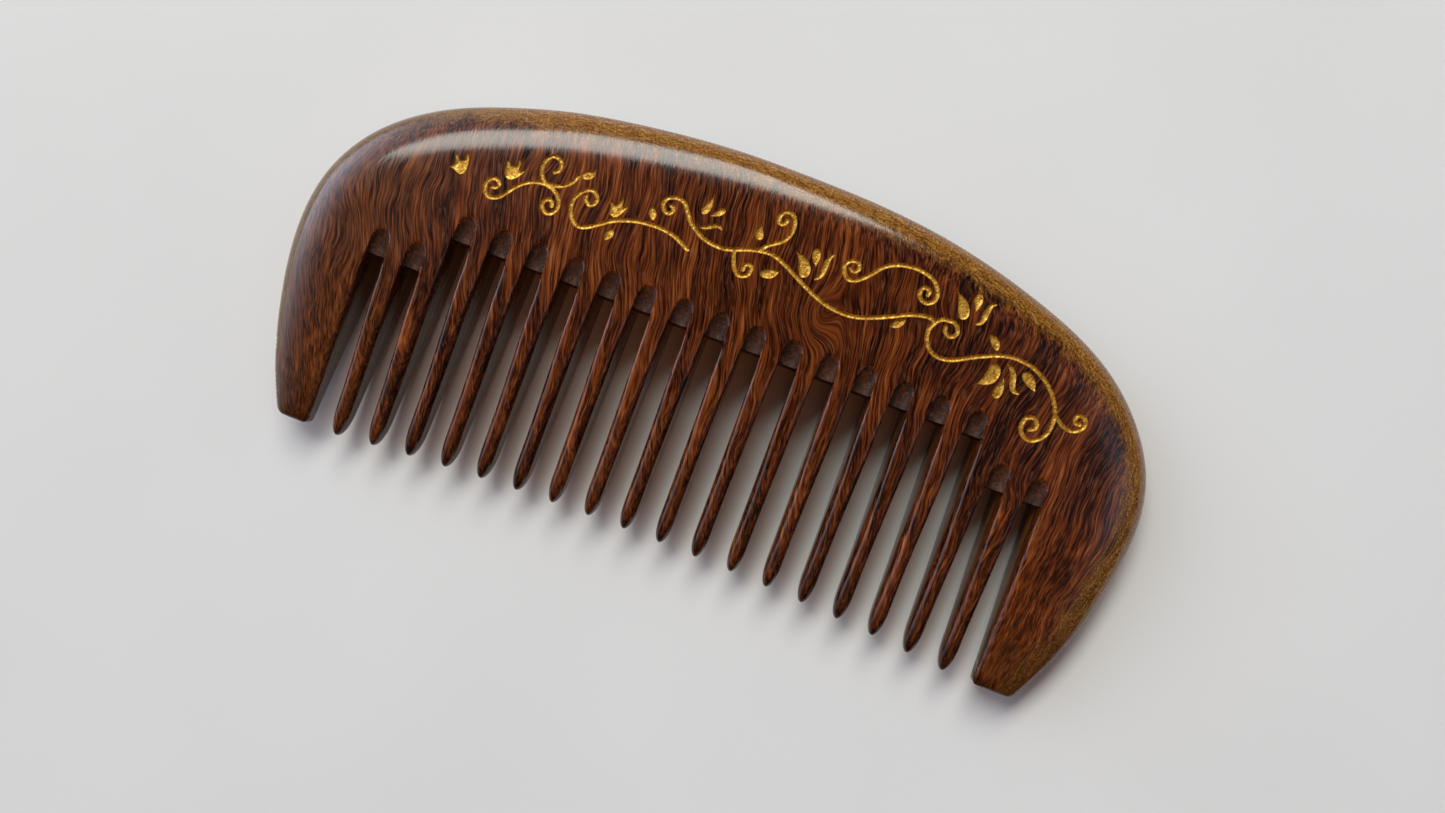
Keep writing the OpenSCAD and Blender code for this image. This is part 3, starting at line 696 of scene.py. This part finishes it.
# distance over the bullnose from its equator, so that a pattern runs evenly round the rim
bull = np.minimum(BULL, 0.72 * np.clip(np.interp(y, [-31, -5.6, 5], [5.0, 12.5, 30]), 0, None))
turn = np.arccos(np.clip(1 - edge_d / bull, 0, 1))
steps = turn[:, None] * np.linspace(0, 1, 25)
speed = np.sqrt((bull[:, None] * np.sin(steps)) ** 2 + (HALF * np.cos(steps)) ** 2)
edge_q = (speed[:, 1:] + speed[:, :-1]).sum(1) / 2 * turn / 24 + np.maximum(0, edge_d - bull)
edge_q *= np.where(tags[:, 3] < 0, -1, 1)
guards = np.abs(x) > GUARD_X - 0.5
tips = np.where(guards, smooth(11, 0, y - FOOT_R), tips)
for name, values in (("edge_d", edge_d), ("edge_q", edge_q), ("edge_s", edge_s), ("scallop", cut), ("tip", tips)):
    at_ = me.attributes.new(name, "FLOAT", "POINT")
    at_.data.foreach_set("value", values.astype(np.float32))

# ---------------------------------------------------------------- gold


def build_gold(name, polys, line_like):
    pts, edges = [], []
    for poly in polys:
        first = len(pts)
        pts += [tuple(p) for p in poly]
        edges += [(first + i, first + (i + 1) % len(poly)) for i in range(len(poly))]
    allp = np.array(pts)
    lo, hi = allp.min(0), allp.max(0)
    step = 0.11
    xs, ys = np.meshgrid(np.arange(lo[0], hi[0], step), np.arange(lo[1], hi[1], step * 0.87))
    xs[1::2] += step / 2
    grid = np.stack([xs.ravel(), ys.ravel()], 1)
    inn = np.zeros(len(grid), bool)
    for poly in polys:
        inn |= inside(grid, poly)
    grid = grid[inn]
    far = np.array([((allp - g) ** 2).sum(1).min() > 0.075**2 for g in grid]) if len(grid) else np.zeros(0, bool)
    grid = grid[far] if len(grid) else grid
    P = [Vector(p) for p in pts] + [Vector(p) for p in grid]
    V, _, F, _, _, _ = delaunay_2d_cdt(P, edges, [], 0, 1e-5, True)
    V = np.array([(v[0], v[1]) for v in V])
    F = np.array([f for f in F if len(f) == 3])
    c = V[F].mean(1)
    inn = np.zeros(len(F), bool)
    for poly in polys:
        inn |= inside(c, poly)
    F = F[inn]
    a, b, c = V[F[:, 0]], V[F[:, 1]], V[F[:, 2]]
    area = (b[:, 0] - a[:, 0]) * (c[:, 1] - a[:, 1]) - (b[:, 1] - a[:, 1]) * (c[:, 0] - a[:, 0])
    F[area < 0] = F[area < 0][:, ::-1]
    half = {}
    for f in F:
        for i in range(3):
            half[(f[i], f[(i + 1) % 3])] = 1
    rim = [(p, q) for (p, q) in half if (q, p) not in half]
    used = sorted(set(F.ravel()))
    A = V[[p for p, q in rim]]
    B = V[[q for p, q in rim]]
    D = B - A
    LL = np.maximum((D**2).sum(1), 1e-12)
    z0 = surface(V[used])
    verts, top, low = [], {}, {}
    for n, i in enumerate(used):
        p = V[i]
        u = np.clip(((p - A) * D).sum(1) / LL, 0, 1)
        d = float(np.sqrt((((A + u[:, None] * D) - p) ** 2).sum(1).min()))
        # the paint lines a rounded channel on the lines and a flat-bottomed hollow in leaves and buds
        r = 0.30 if line_like else 0.34
        q = min(1.0, d / r)
        z = z0[n] - 0.03 - (0.21 if line_like else 0.2) * math.sqrt(max(0.0, 1 - (1 - q) ** 2))
        if d > 0.02:
            z += 0.03 * noise.noise(Vector((p[0] * 3.1, p[1] * 3.1, 4.2)))
            z += 0.03 * noise.noise(Vector((p[0] * 6.3, p[1] * 6.3, 9.1)))
        top[i] = len(verts)
        verts.append(to_row(p[0], p[1], min(z, z0[n] - 0.01)))
        low[i] = len(verts)
        verts.append(to_row(p[0], p[1], z0[n] - GROOVE + 0.01))
    faces = [[top[i] for i in f] for f in F] + [[low[i] for i in f][::-1] for f in F]
    faces += [[low[p], low[q], top[q], top[p]] for p, q in rim]
    ob = add_mesh(name + "_gold", verts, faces, 60)
    bad = open_edges(ob.data)
    if bad:
        print(name, "open edges", bad)
    return ob


gold = {name: build_gold(name, polys, name.startswith("vine")) for name, polys in GOLD.items()}
print("gold faces:", sum(len(o.data.polygons) for o in gold.values()))

# ---------------------------------------------------------------- materials


# from the darkest strands to the palest
WOOD_TONES = [
    (0.395, (0.0060, 0.0009, 0.0003)),
    (0.455, (0.030, 0.0048, 0.0009)),
    (0.505, (0.078, 0.0145, 0.0022)),
    (0.555, (0.150, 0.0320, 0.0050)),
    (0.605, (0.235, 0.0590, 0.0110)),
    (0.660, (0.330, 0.1000, 0.0250)),
]


class Nodes:
    """Short names for the nodes of one material."""

    def __init__(self, name):
        self.m = bpy.data.materials.new(name)
        self.m.use_nodes = True
        self.t = self.m.node_tree
        self.t.nodes.clear()
        self.out = self.t.nodes.new("ShaderNodeOutputMaterial")
        self.bsdf = self.t.nodes.new("ShaderNodeBsdfPrincipled")
        self.t.links.new(self.bsdf.outputs[0], self.out.inputs[0])

    def link(self, a, b):
        self.t.links.new(a, b)

    def node(self, kind, **props):
        n = self.t.nodes.new(kind)
        for k, v in props.items():
            setattr(n, k, v)
        return n

    def put(self, socket, value):
        if isinstance(value, bpy.types.NodeSocket):
            self.t.links.new(value, socket)
        else:
            socket.default_value = value

    def math(self, op, a, b=None, c=None, clamp=False):
        n = self.node("ShaderNodeMath", operation=op, use_clamp=clamp)
        for s, v in zip(n.inputs, (a, b, c)):
            if v is not None:
                self.put(s, v)
        return n.outputs[0]

    def vmul(self, v, k):
        n = self.node("ShaderNodeVectorMath", operation="MULTIPLY")
        self.put(n.inputs[0], v)
        self.put(n.inputs[1], k)
        return n.outputs[0]

    def noise(self, vector, scale=1.0, detail=2.0, rough=0.5, lac=2.0, distort=0.0, color=False):
        n = self.node("ShaderNodeTexNoise")
        self.put(n.inputs["Vector"], vector)
        n.inputs["Scale"].default_value = scale
        n.inputs["Detail"].default_value = detail
        n.inputs["Roughness"].default_value = rough
        n.inputs["Lacunarity"].default_value = lac
        n.inputs["Distortion"].default_value = distort
        return n.outputs["Color" if color else "Fac"]

    def ramp(self, fac, stops, mode="LINEAR"):
        n = self.node("ShaderNodeValToRGB")
        n.color_ramp.interpolation = mode
        e = n.color_ramp.elements
        while len(e) > 1:
            e.remove(e[-1])
        e[0].position, e[0].color = stops[0][0], (*stops[0][1], 1)
        for pos, col in stops[1:]:
            s = e.new(pos)
            s.color = (*col, 1)
        self.put(n.inputs[0], fac)
        return n.outputs[0]

    def band(self, fac, lo, hi, to_lo=0.0, to_hi=1.0, smooth=True):
        n = self.node("ShaderNodeMapRange")
        if smooth:
            n.interpolation_type = "SMOOTHSTEP"
        self.put(n.inputs[0], fac)
        n.inputs[1].default_value, n.inputs[2].default_value = lo, hi
        n.inputs[3].default_value, n.inputs[4].default_value = to_lo, to_hi
        return n.outputs[0]

    def mix(self, fac, a, b, mode="MIX"):
        n = self.node("ShaderNodeMix", data_type="RGBA", blend_type=mode)
        self.put(n.inputs[0], fac)
        self.put(n.inputs[6], a if isinstance(a, bpy.types.NodeSocket) else (*a, 1))
        self.put(n.inputs[7], b if isinstance(b, bpy.types.NodeSocket) else (*b, 1))
        return n.outputs[2]

    def attr(self, name):
        n = self.node("ShaderNodeAttribute", attribute_name=name)
        return n.outputs["Fac"]

    def xyz(self, x, y, z):
        n = self.node("ShaderNodeCombineXYZ")
        for s, v in zip(n.inputs, (x, y, z)):
            self.put(s, v)
        return n.outputs[0]


def wood_material():
    N = Nodes("polished_hardwood")
    M = N.math
    co = N.node("ShaderNodeTexCoord").outputs["Object"]
    mm = N.vmul(co, (1000, 1000, 1000))
    sep = N.node("ShaderNodeSeparateXYZ")
    N.link(mm, sep.inputs[0])
    X, Y, Z = sep.outputs

    def wander(fx, fy, amp, detail=1.0):
        n = N.noise(N.vmul(mm, (fx, fy, fx)), 1, detail, 0.5)
        return M("MULTIPLY", M("SUBTRACT", n, 0.5), amp)

    # the strands lean to one side of the teeth, except near the back and at the right end
    low = M("SUBTRACT", Y, N.band(Y, 6.0, 18.0, 0.0, 6.0))
    lean = N.band(X, 22.0, 46.0, 0.24, -0.06)
    u = M("ADD", X, M("MULTIPLY", lean, low))
    u = M("ADD", u, wander(0.045, 0.050, 6.5))
    u = M("ADD", u, wander(0.16, 0.14, 2.0))
    u = M("ADD", u, wander(0.55, 0.36, 0.36))
    # an eye in the grain near the middle
    ex = M("DIVIDE", M("SUBTRACT", X, 10.6), 2.3)
    ey = M("DIVIDE", M("SUBTRACT", Y, 10.6), 3.4)
    r2 = M("ADD", M("MULTIPLY", ex, ex), M("MULTIPLY", ey, ey))
    eye = M("EXPONENT", M("MULTIPLY", r2, -1.0))
    u = M("ADD", u, M("MULTIPLY", eye, 3.6))

    def strand(fu, fy, detail, rough, shift=0.0):
        v = N.xyz(M("MULTIPLY", u, fu), M("MULTIPLY", Y, fy), M("MULTIPLY_ADD", Z, fu, shift))
        return N.noise(v, 1, detail, rough)

    broad = strand(0.30, 0.020, 1, 0.5)
    wide = strand(1.1, 0.055, 1, 0.5, 7.0)
    line_ = strand(3.0, 0.13, 1, 0.6, 3.0)
    fine_ = strand(5.6, 0.26, 1, 0.6, 5.0)
    v = M("ADD", M("MULTIPLY", broad, 0.20), M("MULTIPLY", wide, 0.18))
    v = M("ADD", v, M("MULTIPLY", line_, 0.34))
    v = M("ADD", v, M("MULTIPLY", fine_, 0.28))
    wood = N.ramp(M("SUBTRACT", v, N.band(X, -8, 4, 0.0, 0.010)), WOOD_TONES)
    # pale short dashes: painted glints where light catches the pores
    pore = strand(6.4, 0.62, 0, 0.5, 11.0)
    pore_glint = N.band(pore, 0.60, 0.72)
    wood = N.mix(M("MULTIPLY", pore_glint, 0.26), wood, (0.24, 0.100, 0.038))
    # the left end is browner and quieter
    side = N.band(X, -34, -56)
    calm = N.mix(N.band(fine_, 0.40, 0.60), (0.040, 0.0120, 0.0026), (0.150, 0.052, 0.014))
    wood = N.mix(M("MULTIPLY", side, 0.5), wood, calm)
    # dull, curly wood in the scallops, painted darker: partly rougher cut wood, partly painted shade of the hollows
    curl = N.noise(N.vmul(mm, (1.5, 1.5, 1.8)), 1, 3, 0.65, 2.0, 1.4)
    dull_shaded_wood = N.ramp(curl, [(0.36, (0.006, 0.0016, 0.0005)), (0.50, (0.034, 0.0100, 0.0028)), (0.60, (0.075, 0.0260, 0.0085)), (0.68, (0.16, 0.065, 0.026))])
    sc = N.attr("scallop")
    wood = N.mix(M("MULTIPLY", sc, 0.78), wood, dull_shaded_wood)
    # darker towards the tips of the teeth and the feet of the guards
    tip = N.attr("tip")
    wood = N.mix(M("MULTIPLY", tip, 0.5), wood, (0.020, 0.0055, 0.0018))
    # the rim, where the strands come out on end: golden, in rows of fine dots; the golden band is partly end-grain
    # colour and partly a painted sheen of the rounded edge
    q, s = M("ABSOLUTE", N.attr("edge_q")), N.attr("edge_s")
    wave = N.noise(N.xyz(M("MULTIPLY", s, 0.22), M("MULTIPLY", q, 0.30), 0.0), 1, 2, 0.5)
    qw = M("ADD", q, M("MULTIPLY", M("SUBTRACT", wave, 0.5), 2.6))
    row = M("MULTIPLY_ADD", s, 0.07, qw)
    dots = N.noise(N.xyz(M("MULTIPLY", s, 3.0), M("MULTIPLY", row, 4.2), 0.0), 1, 1, 0.5)
    streak = N.noise(N.xyz(M("MULTIPLY", s, 0.5), M("MULTIPLY", row, 3.0), 4.0), 1, 2, 0.55)
    grit = M("ADD", M("MULTIPLY", dots, 0.55), M("MULTIPLY", streak, 0.45))
    golden_rim_and_sheen = N.ramp(grit, [
        (0.36, (0.085, 0.030, 0.0045)), (0.46, (0.180, 0.068, 0.0105)),
        (0.55, (0.310, 0.135, 0.0240)), (0.68, (0.50, 0.27, 0.065)),
    ])
    # olive-grey at the left end: the rim's colour with a painted sheen
    olive_rim_and_sheen = N.ramp(grit, [(0.38, (0.095, 0.052, 0.016)), (0.60, (0.200, 0.118, 0.044))])
    golden_rim_and_sheen = N.mix(N.band(X, -28, -54), golden_rim_and_sheen, olive_rim_and_sheen)
    # a plainer band at the very edge: partly a painted reflection of the pale floor
    edge_band_and_reflection = N.mix(0.5, golden_rim_and_sheen, (0.150, 0.072, 0.026))
    golden_rim_and_sheen = N.mix(N.band(q, 2.2, 1.0), golden_rim_and_sheen, edge_band_and_reflection)
    inner = N.band(X, -30, -50, 5.2, 3.2)
    m = M("SUBTRACT", M("ADD", inner, M("MULTIPLY", M("SUBTRACT", v, 0.5), 7.0)), qw)
    m = N.band(m, -1.3, 1.5)
    below = N.band(Y, -10, -22, 1.0, 0.35)
    wood = N.mix(M("MULTIPLY", M("MULTIPLY", m, 0.9), below), wood, golden_rim_and_sheen)
    N.put(N.bsdf.inputs["Base Color"], wood)
    rough = M("ADD", M("MULTIPLY", M("SUBTRACT", fine_, 0.5), 0.22), 0.155)
    rough = M("ADD", rough, M("MULTIPLY", sc, 0.35))
    N.put(N.bsdf.inputs["Roughness"], rough)
    N.bsdf.inputs["IOR"].default_value = 1.5
    height = M("ADD", M("MULTIPLY", line_, 0.5), M("MULTIPLY", pore, 0.5))
    height = M("ADD", height, M("MULTIPLY", M("MULTIPLY", curl, sc), 1.2))
    bump = N.node("ShaderNodeBump")
    bump.inputs["Strength"].default_value = 0.25
    bump.inputs["Distance"].default_value = 0.00004
    N.put(bump.inputs["Height"], height)
    N.link(bump.outputs[0], N.bsdf.inputs["Normal"])
    return N.m


def gold_material():
    N = Nodes("gold_paint")
    co = N.node("ShaderNodeTexCoord").outputs["Object"]
    mm = N.vmul(co, (1000, 1000, 1000))
    rot = N.node("ShaderNodeVectorRotate", rotation_type="Z_AXIS")
    N.put(rot.inputs["Vector"], mm)
    rot.inputs["Angle"].default_value = math.radians(35)
    hatch = N.noise(N.vmul(rot.outputs[0], (7.0, 2.0, 3.0)), 1, 2, 0.6)
    blotch = N.noise(mm, 1.9, 2, 0.5)
    grain = N.noise(mm, 6.5, 2, 0.6)
    v = N.math("ADD", N.math("MULTIPLY", hatch, 0.40), N.math("MULTIPLY", blotch, 0.30))
    v = N.math("ADD", v, N.math("MULTIPLY", grain, 0.3))
    col = N.ramp(v, [
        (0.38, (0.18, 0.072, 0.004)),
        (0.46, (0.40, 0.185, 0.012)),
        (0.54, (0.66, 0.360, 0.040)),
        (0.64, (0.92, 0.660, 0.160)),
    ])
    N.put(N.bsdf.inputs["Base Color"], col)
    N.bsdf.inputs["Metallic"].default_value = 0.6
    N.put(N.bsdf.inputs["Roughness"], N.band(v, 0.38, 0.62, 0.55, 0.36, False))
    bump = N.node("ShaderNodeBump")
    bump.inputs["Strength"].default_value = 0.8
    bump.inputs["Distance"].default_value = 0.00008
    N.put(bump.inputs["Height"], v)
    N.link(bump.outputs[0], N.bsdf.inputs["Normal"])
    return N.m


def paper_material():
    N = Nodes("pale_floor")
    co = N.node("ShaderNodeTexCoord").outputs["Object"]
    tone = N.noise(N.vmul(co, (1000, 1000, 1000)), 0.02, 2, 0.5)
    col = N.ramp(tone, [(0.3, (0.745, 0.745, 0.74)), (0.7, (0.775, 0.775, 0.77))])
    N.put(N.bsdf.inputs["Base Color"], col)
    N.bsdf.inputs["Roughness"].default_value = 0.75
    N.bsdf.inputs["Specular IOR Level"].default_value = 0.2
    return N.m


wood_mat, gold_mat = wood_material(), gold_material()
board.data.materials.append(wood_mat)
for o in gold.values():
    o.data.materials.append(gold_mat)

WOOD_NODES = ["spine", "end_guard_left", "end_guard_right"] + ["tooth_%02d" % k for k in range(1, TEETH + 1)]
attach(board, "root")
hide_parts(*WOOD_NODES)
for name, o in gold.items():
    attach(o, "root")
    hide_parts(name)

# ---------------------------------------------------------------- floor and light

bpy.ops.mesh.primitive_plane_add(size=3.0, location=(0, 0, -0.00001))
floor = bpy.context.object
floor.name = "floor"
floor.data.materials.append(paper_material())


def toward(az, el):
    a, e = math.radians(az), math.radians(el)
    return Vector((math.cos(a) * math.cos(e), math.sin(a) * math.cos(e), math.sin(e)))


def area(name, az, el, dist, w, h, roll, radiance, color):
    lamp = bpy.data.lights.new(name, "AREA")
    lamp.shape = "RECTANGLE"
    lamp.size, lamp.size_y = w, h
    lamp.energy = radiance * math.pi * w * h
    lamp.color = color
    ob = bpy.data.objects.new(name, lamp)
    bpy.context.scene.collection.objects.link(ob)
    d = toward(az, el)
    ob.location = d * dist
    ob.rotation_mode = "QUATERNION"
    ob.rotation_quaternion = d.to_track_quat("Z", "Y") @ Quaternion((0, 0, 1), math.radians(roll))
    return ob


# a broad soft window behind and to the left, and a dark ceiling
area("window", 114.4, 48.2, 1.6, 1.504, 0.544, 31, 8.9, (0.98, 0.985, 0.91))
world = bpy.data.worlds.new("studio")
world.use_nodes = True
sky = world.node_tree
sky_dir = sky.nodes.new("ShaderNodeTexCoord").outputs["Generated"]
total = None
# glows of the room: direction, width in degrees, colour
GLOWS = [
    (165, 12, 20, (3.4, 3.8, 4.6)),
    (15, 45, 14, (0.5, 0.7, 0.9)),
    (285, 60, 10, (1.2, 0.35, 0.08)),
]
for az, el, width, col in GLOWS:
    dot = sky.nodes.new("ShaderNodeVectorMath")
    dot.operation = "DOT_PRODUCT"
    sky.links.new(sky_dir, dot.inputs[0])
    dot.inputs[1].default_value = toward(az, el)
    k = 1.0 / math.radians(width) ** 2
    e1 = sky.nodes.new("ShaderNodeMath")
    e1.operation = "MULTIPLY_ADD"
    sky.links.new(dot.outputs["Value"], e1.inputs[0])
    e1.inputs[1].default_value, e1.inputs[2].default_value = k, -k
    e2 = sky.nodes.new("ShaderNodeMath")
    e2.operation = "EXPONENT"
    sky.links.new(e1.outputs[0], e2.inputs[0])
    one = sky.nodes.new("ShaderNodeVectorMath")
    one.operation = "SCALE"
    one.inputs[0].default_value = col
    sky.links.new(e2.outputs[0], one.inputs["Scale"])
    add = sky.nodes.new("ShaderNodeVectorMath")
    add.operation = "ADD"
    sky.links.new(one.outputs[0], add.inputs[0])
    if total is None:
        add.inputs[1].default_value = (0.024, 0.018, 0.015)
    else:
        sky.links.new(total, add.inputs[1])
    total = add.outputs[0]
sky.links.new(total, sky.nodes["Background"].inputs[0])
sky.nodes["Background"].inputs[1].default_value = 1.0
bpy.context.scene.world = world
bpy.context.scene.view_settings.view_transform = "Standard"
